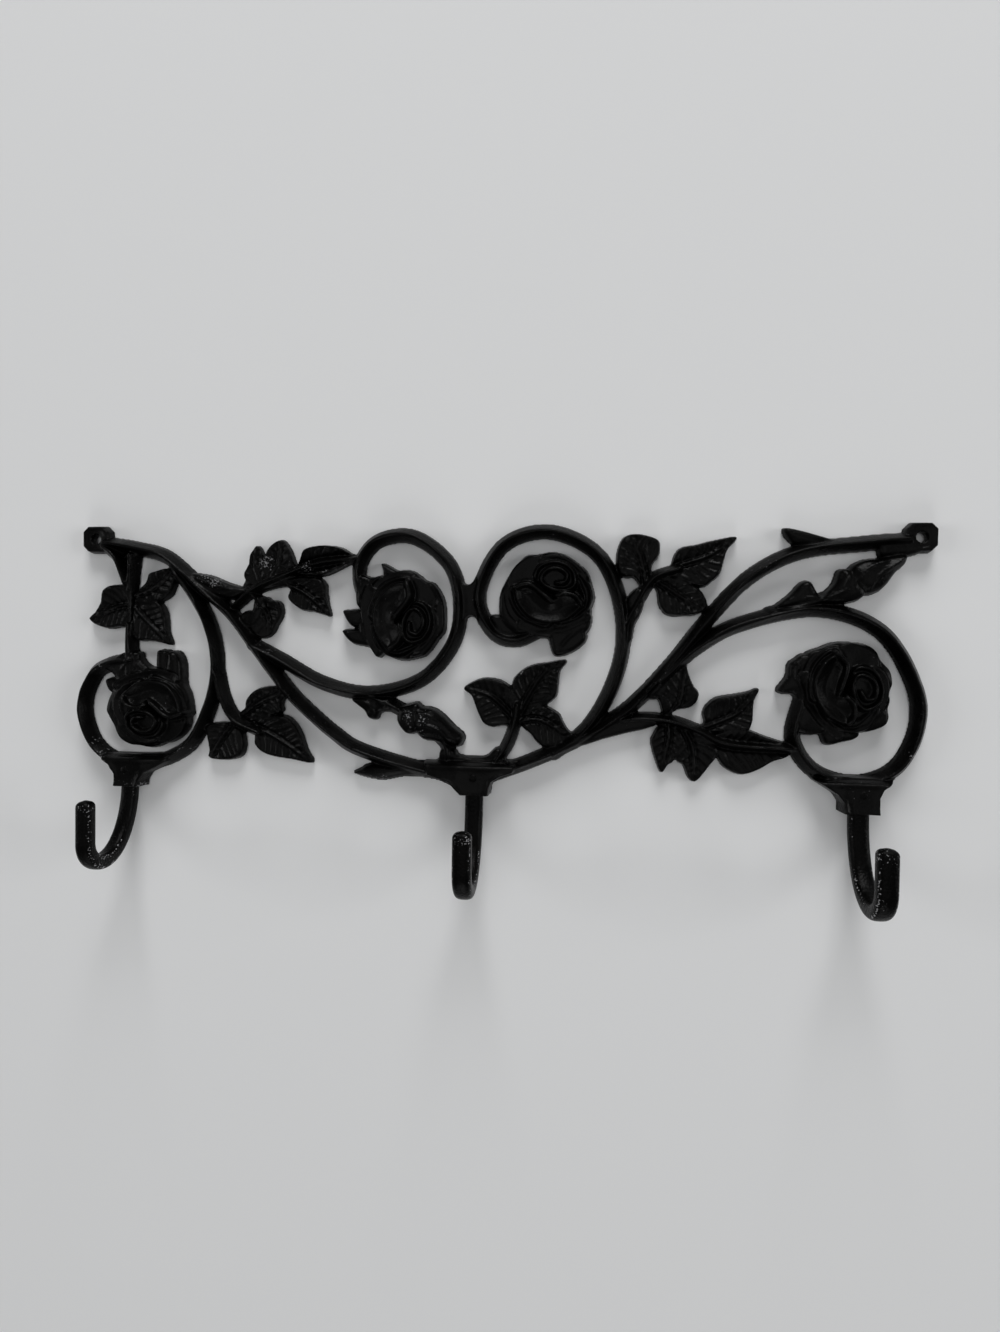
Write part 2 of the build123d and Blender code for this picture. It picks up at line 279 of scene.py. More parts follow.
# Stems
stem([(-246, -2), (-224, -5.5), (-204, -11), (-184, -27), (-161, -46), (-142, -70), (-124, -93)], 9.5)
stem([(-131, -84), (-120, -97), (-107, -109), (-92, -121), (-77, -130), (-42, -140), (-8, -146)], 9.2)
stem([(-226, -10), (-227.5, -28), (-228, -60), (-227, -88)], 5.6)
stem([(-226, -10), (-227, -22), (-228, -32)], 8.7, taper=0.75)
stem([(-227, -92), (-228, -72), (-228, -54)], 8.4, taper=0.9)
stem(
    [(-226, -77), (-241, -79), (-253, -87), (-260, -109), (-249, -134.5), (-222, -144)]
    + [(-189.5, -131.5), (-174, -103), (-170, -75), (-178, -47), (-198, -17)]
)
stem(
    [(-146, -66), (-128, -75), (-100, -89.5), (-70, -95), (-38, -86), (-18.5, -63.5), (-14.5, -38)]
    + [(-22, -14.5), (-44, 1.5), (-66, -1), (-77.5, -16), (-75, -34), (-64, -42)]
)
stem(
    [(44, -129), (63.5, -113.5), (78, -88), (84.5, -60), (80, -30), (66, -7), (38, 4.5), (11, -4.5)]
    + [(-3, -33), (5, -55), (20, -61), (38, -53)]
)
stem(
    [(0, -146), (35, -132), (66, -116), (90, -99), (112, -75), (132, -49), (156, -23), (184, -8)]
    + [(220, -3), (247, -1)]
)
stem(
    [(106, -84), (126, -65), (152, -50), (195, -41), (230, -53), (249, -83), (251.5, -108), (240, -132)]
    + [(218, -141), (195, -134.5), (183, -116), (187, -94)]
)
stem([(4, -142), (15.5, -125), (20.5, -110), (22, -100)], 8.4, 4.2)
stem([(84, -53), (91.5, -39), (101, -24), (116, -18)], 8.3, 4.2)
stem([(74, -110), (92, -106.5), (112, -107.5), (128, -112.5), (146, -120), (184, -122)], 8.4, 4.0)
stem([(-169.5, -82), (-165, -100), (-157, -113), (-140, -121)], 8.3, 4.6)
stem([(-74, -95), (-58, -101), (-40, -111), (-22, -125), (-21, -141)], 8.1)
stem([(168, -44), (190, -38), (206, -32), (220, -24)], 8.2)
stem([(-158, -42), (-144, -31), (-128, -24), (-106, -16), (-78, -12)], 8.2, 3.4)
stem([(-149, -31), (-144, -36), (-140, -43)], 7.4, 2.8)
stem([(-245, -4), (-236.5, -11.5), (-230, -27)], 8.6)

# Leaves
leaf(
    [(-231, -30), (-238, -28.5), (-245, -29.5), (-249, -33), (-250, -40), (-253, -45), (-258, -50.5)]
    + [(-253, -54.5), (-245, -56.5), (-238, -55.5), (-233, -54.5), (-229, -45)],
    [(-229, -41), (-240, -43), (-257, -50)],
)
leaf(
    [(-227, -36), (-219, -27), (-217, -21.5), (-212, -19.5), (-206, -18), (-200, -18), (-199, -25)]
    + [(-200.5, -30), (-203, -35), (-209, -38.5), (-216, -39)],
    [(-227, -36), (-214, -30), (-201, -20)],
)
leaf(
    [(-226, -38), (-218, -38), (-210, -40), (-206, -46), (-205, -53), (-204.5, -59), (-202, -65.5)]
    + [(-204, -66.5), (-210, -65), (-218, -64), (-224, -64), (-228, -58)],
    [(-228, -41), (-217, -53), (-204, -65)],
)
leaf(
    [(-178, -118), (-177, -125), (-175.5, -133), (-176, -138), (-170, -139.5), (-160, -139), (-154, -136)]
    + [(-152.5, -130), (-153.5, -123), (-156, -119), (-166, -116)],
    [(-160, -116), (-168, -127), (-174, -137)],
)
leaf(
    [(-156, -110), (-152, -106), (-151, -101), (-147, -96), (-142, -93.5), (-133, -92.5), (-126, -96)]
    + [(-128, -103), (-128, -108), (-138, -111), (-150, -113)],
    [(-155, -112), (-142, -102), (-127, -95)],
)
leaf(
    [(-152, -117), (-146, -122), (-145, -129), (-140, -134), (-132, -136.5), (-120, -138), (-108, -139.5)]
    + [(-112, -131), (-115, -122), (-120, -114.5), (-127, -110.5), (-140, -111), (-150, -113)],
    [(-155, -115), (-138, -121), (-122, -130), (-109, -139)],
)
leaf(
    [(-144, -4), (-149, -9), (-150, -15), (-153, -21), (-152, -25), (-147, -29), (-142, -28), (-138, -18)],
    [(-142, -28), (-146, -16), (-145, -5)],
)
leaf(
    [(-139, -26), (-140, -14), (-137, -5), (-129, 0), (-124, -5), (-121, -12), (-120, -18), (-128, -24)],
    [(-136, -26), (-131, -14), (-129, -1)],
)
leaf(
    [(-121, -19), (-117, -13), (-114, -6), (-106, -3.5), (-97, -3.5), (-90, -5), (-84, -8.5), (-78, -10)]
    + [(-85, -14.5), (-92, -18), (-100, -21.5), (-110, -22.5), (-118, -21)],
    [(-121, -19), (-105, -13), (-79, -10)],
    high=8.0,
)
leaf(
    [(-123, -31), (-124, -36), (-121, -40), (-115, -43.5), (-108, -44.5), (-102, -46), (-97, -47)]
    + [(-98.5, -40), (-99.5, -33), (-100, -28), (-104, -24), (-115, -23), (-127, -27)],
    [(-124, -28), (-112, -34), (-98, -46)],
)
leaf(
    [(-139, -36), (-135, -38), (-130, -39), (-128, -44), (-129, -49), (-132, -54), (-134, -58)]
    + [(-138, -61), (-144, -61), (-150, -54), (-147, -46), (-146, -39)],
    [(-144, -38), (-138, -47), (-136, -58)],
)
leaf(
    [(21, -109), (19, -97), (17, -90), (14, -87.5), (10, -85.5), (2, -84.5), (-5, -86.5), (-11.5, -91)]
    + [(-7, -95), (-4.5, -101), (-2, -107), (1, -112), (6, -114), (12, -113), (16, -112.5)],
    [(21, -110), (10, -99), (2, -94), (-10, -91)],
)
leaf(
    [(20, -105), (18, -93), (19, -85), (24, -79.5), (31, -76), (40, -74.5), (50.5, -73), (47, -79)]
    + [(46, -86), (45, -94), (40, -99), (30, -105)],
    [(21, -109), (29, -93), (38, -80), (49, -74)],
)
leaf(
    [(22, -109), (30, -102), (38, -101), (43, -103), (47, -106), (49, -110), (52, -115), (57, -120)]
    + [(46, -126), (38, -125.5), (33, -122), (30, -118), (25, -114)],
    [(22, -110), (35, -109), (50, -117)],
)
leaf(
    [(84, 1), (80.5, -6), (80, -13), (81, -20), (85, -22.5), (90, -22.5), (93, -26), (96, -30), (100, -26)]
    + [(100, -18), (101, -14), (104, -10), (105, -5), (103, 0), (92, 3)],
    [(97, -27), (95, -15), (89, 0)],
)
leaf(
    [(101, -22), (108, -18), (112, -15), (114, -9), (118, -5), (126, -3.5), (136, -1), (149, 1)]
    + [(144, -6), (142, -13), (140, -20), (135, -25), (130, -28), (120, -26), (110, -25)],
    [(101, -22), (118, -15), (133, -10), (148, 0)],
)
leaf(
    [(101, -25), (104, -31), (105, -38), (107, -42), (111, -45), (120, -45), (127, -44), (133, -40)]
    + [(131, -33), (127, -29), (118, -25), (108, -24)],
    [(101, -23), (113, -31), (128, -41)],
)
leaf(
    [(110, -105), (107, -98), (105, -92), (107, -86), (112, -80), (118, -75), (121, -73), (123, -80)]
    + [(126, -87), (129, -91), (128, -96), (124, -99.5), (117, -101)],
    [(111, -107), (118, -97), (120, -85), (121, -75)],
)
leaf(
    [(112, -108), (106, -112), (103, -117), (102, -121), (104, -129), (107, -137), (109, -138.5)]
    + [(112, -134), (115, -132), (118, -124), (117, -112)],
    [(112, -108), (112, -120), (108, -137)],
)
leaf(
    [(118, -112), (116, -122), (117, -131), (121, -134), (124, -141), (127, -143.5), (130, -142)]
    + [(136, -134), (140, -128), (139, -121), (130, -115)],
    [(120, -110), (126, -124), (127, -142)],
)
leaf(
    [(127, -112), (133, -109), (132, -103), (134, -98), (140, -93.5), (150, -91.5), (157, -90),
     (163.5, -88)]
    + [(161, -95), (160.5, -102), (160, -108), (157, -113), (147, -113), (135, -114)],
    [(128, -113), (145, -106), (153, -101), (163, -89)],
)
leaf(
    [(135, -118), (145, -113), (155, -112), (160, -113), (168, -116), (176, -118.5), (186, -122)]
    + [(180, -127.5), (172, -130.5), (164, -135.5), (155, -138.5), (147, -136), (142, -131), (139, -124)],
    [(136, -119), (150, -122.5), (170, -123), (186, -123)],
)

# Places where leaf bases and stems run together, each with the height of its edge
JOIN_CROWN = 2.0
JOIN_REACH = 4
for low, outline in (
    (3.2, [(-152, -26), (-149, -17), (-140, -15), (-126, -16), (-119, -20), (-120, -28), (-130, -29.5),
           (-139, -32), (-147, -35), (-155, -33)]),
    (4.4, [(-147, -44), (-145, -36), (-139, -37), (-141, -50), (-150, -57), (-156, -51), (-152, -45)]),
    (4.6, [(4, -47), (10, -46), (20, -50), (30, -57), (22, -62), (12, -60), (6, -55)]),
    (5.0, [(60, -118), (75, -106), (97, -103.5), (108, -105), (106, -109.5), (98, -113), (88, -115.5),
           (74, -119.5), (60, -124)]),
    (4.4, [(97, -93), (103, -86), (112, -79), (111, -91), (104, -95)]),
    (5.0, [(86, -36), (93, -29), (96, -37), (94, -45), (91, -51), (89, -61), (85, -60), (86, -47)]),
    (5.0, [(-31, -140), (-27, -135), (-25, -129), (-17, -129), (-14, -132), (-5, -133), (3, -132),
           (9, -127), (14, -130), (10, -141)]),
):
    dome(outline, low, JOIN_CROWN, JOIN_REACH)

# Thorns, bracts and buds
dome([(-10, -140), (-44, -136), (-60, -137), (-72, -139.5), (-76, -142), (-80.5, -145), (-70, -148),
      (-60, -148.6)]
     + [(-46, -146), (-28, -147.5), (-14, -152)], 1.2, 6.4, 12)
dome([(214, -5), (196, 1.5), (176, 6), (181, -3), (198, -8)], 4, 3)
dome([(-191, -22), (-178, -22), (-164, -27), (-150, -32), (-161, -37), (-176, -33)], 5, 3, 5)
dome([(-58, -97), (-76, -96), (-82, -99), (-78, -103), (-74, -106), (-71, -110.5), (-66, -111),
      (-63.5, -107)]
     + [(-56, -105)], 4, 4, 6)
dome([(-40, -100.5), (-46, -101.5), (-52, -104), (-53, -112), (-48, -119), (-43, -119.5), (-39, -116),
      (-37, -106)],
     5, 4.5, 6)
dome([(172, -41), (180, -32), (186, -25.5), (191, -25), (195, -31), (200, -38)], 4, 4, 5)
dome([(196, -37), (204, -26), (207, -18.5), (213, -18), (220, -24), (221, -33), (212, -37)], 5, 4.5, 6)
dome([(-42, -103), (-36, -103), (-30, -104), (-24, -108), (-18, -114), (-12, -119), (-11.5, -123)]
     + [(-15, -127), (-24, -125.5), (-31, -124), (-37, -123), (-42, -118), (-45, -110)], 4, 8, 11)
dome([(211, -26), (213, -17), (220, -12.5), (230, -11), (240, -9), (244, -10), (243, -15), (238, -20)]
     + [(233, -27), (228, -31), (220, -32)], 4, 7, 9)
dome([(226, 0), (228, -6), (230, -11), (238, -11), (245, -10), (252, -7), (252, 0)], 4.5, 2, 4)

# Bosses: flat plates up to the stem above them, each with its middle, its foot, the height of its
# front and the lines of its left and its right side
BOSS_TOP = 17
BOSS_WALL = 20
BOSS_SOFT = 1.2
BOSSES = (
    (-226, -157.5, 13.0, [(8.2, 0), (8.2, 9), (10.9, 14), (17, 17.6), (20, 21)],
     [(9.4, 0), (9.8, 4), (13, 9), (19, 12), (27, 17), (28, 22)]),
    (-3.5, -155.2, 14.0, [(7.9, 0), (9.8, 2), (15, 7.5), (29, 11.4), (32, 20)],
     [(9.9, 0), (10.3, 5), (11.6, 8.7), (15.8, 11.6), (24, 14.3), (26, 22)]),
    (219, -158, 14.0, [(10.5, 0), (10.7, 6), (13.5, 10.5), (19.5, 14.5), (25, 17.8), (28, 22)],
     [(10.2, 0), (10.0, 10), (12, 14.6), (16, 17.6), (21, 21)]),
)
for x, foot, plate, left_side, right_side in BOSSES:
    left_line = [(x - dx, foot + dz) for dx, dz in left_side]
    right_line = [(x + dx, foot + dz) for dx, dz in right_side[::-1]]
    line = np.array(left_line + right_line)
    win = window(line, 3)
    depth = inside(line, win)
    rise = np.clip((Z[win] - foot - BOSS_TOP) / 3, 0, 1)
    front = plate - 5.0 * rise**2 - 0.7 * np.clip(1 - depth / 0.8, 0, 1) ** 2
    front -= 0.2 * np.maximum(np.abs(X[win] - x) - 10, 0)
    raise_to(win, np.minimum(front, BOSS_WALL * depth), BOSS_SOFT)

# Wall tabs, and the web where the two middle scrolls meet
SCREWS = ((-250, 0), (250, 0))
TAB_HEIGHT = 6.5
TAB_CORNERS = ((-9.5, -5), (-9.5, 5), (-5.5, 9), (5.5, 9), (9.5, 5), (9.5, -5), (5.5, -9), (-5.5, -9))
for x, z in SCREWS:
    slab([(x + dx, z + dz) for dx, dz in TAB_CORNERS], TAB_HEIGHT)
slab(curve([(-16, -21), (-12.5, -25.5), (-9.5, -27), (-7, -25.5), (-4, -21), (-3, -35), (-2.5, -52),
            (-5, -48.5), (-7.5, -47.3), (-10, -49), (-14, -54), (-15, -38)], closed=True), 6.0, 1.6)


def place(points, centre, turn):
    """Points of the rose's own drawing, turned and moved to a rose."""
    c, s = math.cos(math.radians(turn)), math.sin(math.radians(turn))
    p = np.asarray(points, float)
    return np.stack([p[:, 0] * c - p[:, 1] * s, p[:, 0] * s + p[:, 1] * c], axis=1) + centre


# One rose, drawn about its middle: the petals from the outermost in, each with its rim, its dip,
# how far the dip runs and its tilt
ROSE_PETALS = (
    ([(-27, 3), (-26, -8), (-22, -15), (-14, -20), (0, -22), (6, -7), (-10, 5), (-22, 8)],
     8.6, 0.6, 3, (0.04, 0.03)),
    ([(-24, 4), (-24.5, 12), (-20, 18.5), (-13, 23), (-7, 23.3), (0, 17), (0, 3), (-16, -1)],
     9.8, 0.2, 3, (0.08, -0.08)),
    ([(-19, -17), (-18, -22), (-7, -25), (4, -24), (15, -21), (25, -15.5), (24, -11), (12, -7), (-10, -9)],
     8.8, 0.9, 3, (0, 0.05)),
    ([(-7, 20), (1, 24.3), (10, 22.5), (20, 15), (22.5, 9), (20, 1), (4, 3), (-6, 11)],
     10.0, 0.4, 3, (-0.07, -0.08)),
    ([(18, 13), (25, 5), (26, -3), (23, -10), (15, -16), (4, -17), (4, 3), (14, 11)],
     10.0, 1.2, 3, (-0.06, 0)),
    ([(-25, 1), (-22.5, -8), (-18, -14), (-11, -18), (0, -20), (6, -7), (-10, 5), (-22, 6)],
     10.6, 1.0, 3, (0.05, 0.03)),
    ([(16, 10), (20, 4), (22, -3), (19, -9), (10, -11), (6, 1)], 11.8, 1.6, 3, (-0.05, 0)),
    ([(-9.5, 9), (-8.5, 15), (-5, 18.5), (2, 20.5), (10, 18.5), (15, 14), (17, 7), (14, 1.5), (6, 0),
      (-3, 2)],
     12.8, 0.5, 3.5, (0, 0)),
    ([(-20.5, 4.5), (-20.8, -2), (-18, -8), (-13, -13.5), (-7, -16.5), (1, -17.5), (9, -16), (15, -12.5),
      (19.5, -7),
      (17, -2), (11, 0), (6, -1), (1, -3.5), (-4, 1), (-9, 4.8), (-14, 6.3)], 13.4, 3.6, 10.0, (0.0, 0.06)),
)
# The folds over the petals, each with its height, half its width and how far it climbs
ROSE_FOLDS = (
    ([(-21, 3.8), (-14, 6), (-9, 4.2), (-4, 0), (1, -4)], 15.2, 1.5, 0.0),
    ([(4, -1), (10, 0.6), (16, -1.5), (19.5, -6.5)], 14.8, 1.3, 0.0),
    ([(-17, 1), (-11, 1.6), (-6, -1.2)], 12.4, 0.9, 0.0),
    ([(-8, 7), (-8.5, 12), (-5, 17), (2, 19), (9, 17.5), (14, 13), (15, 6), (10, 2.5), (2, 3), (-4, 6.5),
      (-4.5, 11), (0, 15), (6, 15), (10.5, 11.5), (9, 7), (4, 6.5)], 13.0, 1.1, 2.4),
)
# The roses, each with its middle, its turn and the outline of its body
ROSES = {
    "third": ((40, -33), 0, [
        (10, -33), (13, -26), (16, -20.5), (20, -15), (26, -9.7), (33, -9), (41, -7.6), (47, -8.6),
        (53, -11.5),
        (60, -17), (63, -20.5), (65.5, -28), (67, -35), (65, -42), (65.3, -50), (62, -56), (52, -58),
        (40, -59.5), (30, -58.5), (20, -57), (12.5, -51), (9.5, -43)]),
    "second": ((-52, -47.5), -90, [
        (-64, -27), (-56, -20), (-46, -19), (-40, -22), (-36, -25.2), (-31, -27), (-26.5, -33),
        (-24, -41), (-24, -55),
        (-28, -61), (-34, -69.5), (-39, -72.3), (-50, -74.3), (-60, -71.5), (-68, -68.5), (-75, -63),
        (-78, -54), (-77, -44), (-73, -34)]),
    "fourth": ((212, -87), -66, [
        (190, -66.5), (198, -63), (205, -60.3), (214, -60), (223, -61.2), (228, -64.5), (231, -70),
        (236, -76),
        (237.5, -83), (236, -89), (236.5, -93), (235.5, -98), (236, -103), (234, -107.5), (228, -110.5),
        (220, -112), (208, -110), (198, -107), (190, -103), (186, -95), (186, -84), (187, -74)]),
    "first": ((-215.5, -107), 180, [
        (-238, -93), (-230, -86), (-222, -82.5), (-212, -81.5), (-203, -84), (-194, -87), (-191.5, -96),
        (-189, -105),
        (-190, -113), (-193, -120), (-200, -126), (-208, -131), (-215, -133), (-222, -132), (-229, -131.3),
        (-236, -127), (-240, -119), (-243.5, -113), (-245, -108.5), (-243, -101)]),
}
# Sepals and loose petals round the roses, which run on under them
dome([(40, -57), (44, -50), (56, -50), (62, -56), (62, -61), (57, -66), (50, -69.5), (44, -70),
      (41.5, -66)], 4.5, 3, 4)
dome([(-62, -26), (-63, -19), (-64, -15), (-61, -15.5), (-54, -19), (-46, -20), (-46, -30),
      (-56, -32)], 4.5, 3, 4)
dome([(-66, -42), (-79, -43), (-84, -43.5), (-88, -44.3), (-85, -51), (-80, -54), (-66, -54)], 4.5, 3, 4)
dome([(-66, -54), (-80, -55.5), (-88.3, -56.5), (-83, -63.5), (-76, -65.5), (-66, -66)], 4.5, 3, 4)
dome([(-78, -22), (-70, -23.3), (-64, -22.5), (-58, -30), (-62, -40), (-70, -46), (-79, -41),
      (-80, -30)], 5.5, 3.5, 6)
dome([(174, -87.5), (176, -90), (183, -91), (188, -99), (200, -92), (200, -72), (189, -67), (184, -69.5),
      (180, -73), (179, -80)], 5, 3, 6)
dome([(188, -94), (183, -104), (184, -112), (190, -114), (199, -113), (206, -106), (200, -94)], 5.5, 3.5, 6)
dome([(199, -106), (200, -117.5), (204, -119.5), (210, -118), (217, -116), (220, -112),
      (216, -104)], 4.5, 3, 4)
dome([(-210, -90), (-210.5, -72), (-206, -70.3), (-202.5, -72), (-202, -80), (-203, -92)], 5, 3.6, 4)
dome([(-204.5, -90), (-204, -75), (-202, -71), (-197, -71.5), (-193.5, -78), (-194, -92)], 5, 4.6, 5)
dome([(-233, -72), (-223, -72), (-221.5, -76), (-217, -80.5), (-212, -83), (-212, -92), (-236, -94),
      (-240, -87)]
     + [(-246, -82), (-240, -76)], 5, 2.4, 5)
dome([(-245.5, -90), (-239, -88.5), (-230, -90), (-230, -100), (-242, -98)], 4.5, 2.5, 4)

for centre, turn, body in ROSES.values():
    dome(body, 5.5, 2.6, 5.0)
    for outline, rim, dip, run, tilt in ROSE_PETALS:
        slope = place([tilt], (0, 0), turn)[0]
        petal(curve(drawn(place(outline, centre, turn), rim), closed=True), rim, dip, run, slope)
    for points, height, half, climb in ROSE_FOLDS:
        ridge(curve(drawn(place(points, centre, turn), height)), height, half, climb)

# Fine lines along the stems near their forks, and the folds of the buds and bracts
for points in (
    [(-200, -20), (-185, -31), (-170, -40), (-158, -48)],
    [(-194, -19), (-180, -29), (-165, -38), (-154, -43)],
    [(-186, -24), (-172, -29), (-158, -32)],
    [(-186, -36), (-177, -55), (-173, -75), (-173, -95)],
    [(-172, -80), (-168, -96), (-162, -108)],
    [(-146, -67), (-125, -81), (-100, -91), (-78, -95)],
    [(-135, -85), (-120, -100), (-100, -117), (-80, -130)],
    [(128, -50), (110, -73), (90, -96), (60, -122), (20, -139)],
    [(120, -71), (102, -92), (82, -107), (58, -121)],
    [(104, -85), (90, -101), (70, -115)],
    [(92, -40), (88, -60), (83, -85), (74, -108)],
    [(128, -64), (150, -53), (175, -44), (192, -40)],
    [(135, -45), (150, -30), (175, -14)],
    [(186, -34), (200, -34), (214, -28)],
    [(214, -31), (217, -22), (224, -16), (234, -12.5)],
    [(222, -31), (226, -23), (233, -18), (241, -13)],
    [(206, -31), (209, -24), (212, -19)],
    [(-42, -108), (-34, -107), (-25, -112), (-16, -121)],
    [(-42, -115), (-33, -114), (-25, -117), (-19, -124)],
    [(-51, -105), (-46, -108), (-45, -116)],
    [(-76, -99), (-70, -103), (-67, -109)],
    [(-68, -97), (-63, -101), (-60, -104)],
    [(84, -4), (86, -12), (92, -16), (98, -20)],
    [(96, 0), (97, -8), (98, -16)],
    [(-230, -62), (-230, -76), (-236, -84)],
    [(-226, -62), (-226, -76), (-219, -85)],
    [(46, -66), (51, -60), (58, -54)],
    [(186, -70), (184, -80), (190, -92)],
):
    crease(points)

def blurred(field, sigma):
    """The field with its fine detail smoothed away; sigma is in steps of the grid."""
    reach = int(3 * sigma) + 1
    kernel = np.exp(-0.5 * (np.arange(-reach, reach + 1) / sigma) ** 2)
    kernel /= kernel.sum()
    field = np.apply_along_axis(np.convolve, 0, field, kernel, mode="same")
    return np.apply_along_axis(np.convolve, 1, field, kernel, mode="same")


noise = rng.standard_normal(H.shape)
H = blurred(H, 0.55)
# Ridges stand a little higher and hollows a little deeper than drawn
RELIEF_GAIN = 0.7
RELIEF_REACH = 3.2
held = H > GROUND
share = np.maximum(blurred(held.astype(float), RELIEF_REACH), 1e-3)
around = blurred(np.where(held, H, 0), RELIEF_REACH) / share
H = np.where(held, np.maximum(H + RELIEF_GAIN * (H - around), 0.6), H)
# A little unevenness of the sand mould
WAVE_REACH = 5.0
WAVE_HEIGHT = 0.12
wave = blurred(noise, WAVE_REACH)
H += np.where(H > 1.0, WAVE_HEIGHT * wave / wave.std(), 0)
# Nothing lies outside the box of the CAD panel
EDGE_ROOM = 0.2
past_x = (X < panel_low[0] + EDGE_ROOM) | (X > panel_high[0] - EDGE_ROOM)
past_z = (Z < panel_low[2] + EDGE_ROOM) | (Z > panel_high[2] - EDGE_ROOM)
H[past_x | past_z] = FLOOR
# Screw holes, with a worn rim
SCREW_RADIUS = 2.75
for x, z in SCREWS:
    off = np.hypot(X - x, Z - z)
    rim = 6.4 - 0.4 * np.clip(1 - (off - SCREW_RADIUS) / 1.0, 0, 1)
    H = np.where(off < 6, np.minimum(H, rim), H)
    H = np.where(off < 3.4, np.minimum(H, 12 * (off - SCREW_RADIUS)), H)


def make_object(name, verts, faces, smooth=True):
    """An object of its own from points in metres and faces."""
    mesh = bpy.data.meshes.new(name)
    mesh.from_pydata(verts, [], faces)
    mesh.update()
    mesh.polygons.foreach_set("use_smooth", [smooth] * len(mesh.polygons))
    thing = bpy.data.objects.new(name, mesh)
    bpy.context.scene.collection.objects.link(thing)
    return thing


# Distances in the field are cut off here
BAND = 3.0


def skin(field, low):
    """The surface where the field is zero, as points in millimetres and faces that look outwards."""
    grid = openvdb.FloatGrid(background=BAND)
    grid.copyFromArray(field.astype(np.float32))
    points, triangles, quads = grid.convertToPolygons(isovalue=0.0, adaptivity=0.0)
    return points * GRID + low, [tuple(q) for q in quads] + [tuple(t) for t in triangles]


heights = np.arange(-2 * GRID, H.max() + 2 * GRID, GRID)
T = heights[None, :, None]
solid = np.maximum(T - H[:, None, :], -T * 2)
# A channel behind each boss takes the shank of a hook
HOOK_NAMES = ("hook_left", "hook_middle", "hook_right")
HOOK_WIDTHS = (9.6, 10.8, 11.2)
SEAT_DEPTH = 9.55
SEAT_LENGTH = 19.0
SEAT_ROOM = 0.2
for (x, foot, *_), width in zip(BOSSES, HOOK_WIDTHS):
    reach = np.minimum(width / 2 + SEAT_ROOM - np.abs(X - x), foot + SEAT_LENGTH - Z)
    solid = np.maximum(solid, np.minimum(reach[:, None, :], SEAT_DEPTH - T))
points, faces = skin(np.clip(solid, -BAND, BAND), np.array([xs[0], heights[0], zs[0]]))
# The back stays a hair in front of the wall
BACK_ROOM = 0.02
points[:, 1] = np.minimum(-points[:, 1], -BACK_ROOM)
panel = make_object("rose_panel", points * MM, faces)
# Where the pale chip colour is laid, each place with its reach: some worn paint, and painted highlights and
# glints where ridges, leaf edges, boss feet and a thorn catch the light
WEAR_AND_GLINTS = (
    (24, -80, 2.2), (-146, -115, 1.6), (-137, -14, 5), (-141, -15, 3.5), (-112, -17, 4), (-100, -20, 2.5),
    (-94, -17.5, 2.5),
    (-88, -15, 2), (-226, -158, 4), (-220, -158, 3), (-247, -138, 5), (-254, -130, 4), (-195, -131, 6),
    (-186, -134, 4),
    (-180, -24, 5), (-172, -27, 5), (-142, -65, 5), (-137, -70, 4), (-36, -110, 4), (-37, -120, 4),
    (-46, -109, 3), (-70, -146.5, 4), (-62, -147, 4), (248, -125, 3), (-250, -80, 4), (-203, -105, 3),
)
# Share of painted highlight and wear at each point of the panel
wear_and_glint = np.zeros(len(points))
for x, z, reach in WEAR_AND_GLINTS:
    (px, pz), = drawn([(x, z)], FRONT_HEIGHT)
    away = (points[:, 0] - px) ** 2 + (points[:, 2] - pz) ** 2
    wear_and_glint = np.maximum(wear_and_glint, np.exp(-away / reach**2))
panel.data.attributes.new("wear_and_glint", "FLOAT", "POINT").data.foreach_set("value", wear_and_glint)
# The panel is thinned to no more than about this many triangles. A piece may have
# 200,000 triangles
MOST_TRIANGLES = 190000
thin = panel.modifiers.new("thin", "DECIMATE")
thin.ratio = min(1.0, MOST_TRIANGLES / (2 * len(faces)))
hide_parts("scroll_panel")
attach(panel, "root")

# Hooks: the shank sweeps forward in a long curve, and the bend to the tip is tighter
BAR_THICKNESS = 9.4
REAR_SWEEP = (29.0, 44.0)
FRONT_BEND_RISE = 14.0
BEND_LIFT = 2.0
TIP_RISES = {"hook_left": 39.5, "hook_middle": 37.2, "hook_right": 37.6}
TIP_ROUND = 4.0
BAR_SQUARENESS = 0.7
# Painted glints: the pale chip colour is laid along the edges of the bar near its front, and at the tip,
# where light glints off the bar
GLINT_LENGTH = 75
GLINT_FRONT = 0.85
GLINT_SHANK = 0.35


def hook_path(name):
    """The middle line of a bar in its own plane, from the top of the shank to the tip."""
    low, high = node_box(name)
    back_y = high[1] - BAR_THICKNESS / 2
    front_y = low[1] + BAR_THICKNESS / 2
    bottom = low[2] + BAR_THICKNESS / 2 + BEND_LIFT
    sweep, rise = REAR_SWEEP
    bend = back_y - sweep - front_y
    turn = np.linspace(0, math.pi / 2, 60)
    shank = np.column_stack([np.full(20, back_y), np.linspace(high[2], bottom + rise, 20)])
    rear = np.column_stack([back_y - sweep * (1 - np.cos(turn)), bottom + rise * (1 - np.sin(turn))])
    climb = bottom + FRONT_BEND_RISE * (1 - np.cos(turn))
    front = np.column_stack([back_y - sweep - bend * np.sin(turn), climb])
    tip_climb = np.linspace(bottom + FRONT_BEND_RISE, bottom + TIP_RISES[name], 30)
    tip = np.column_stack([np.full(30, front_y), tip_climb])
    return np.vstack([shank, rear[1:], front[1:], tip[1:]])


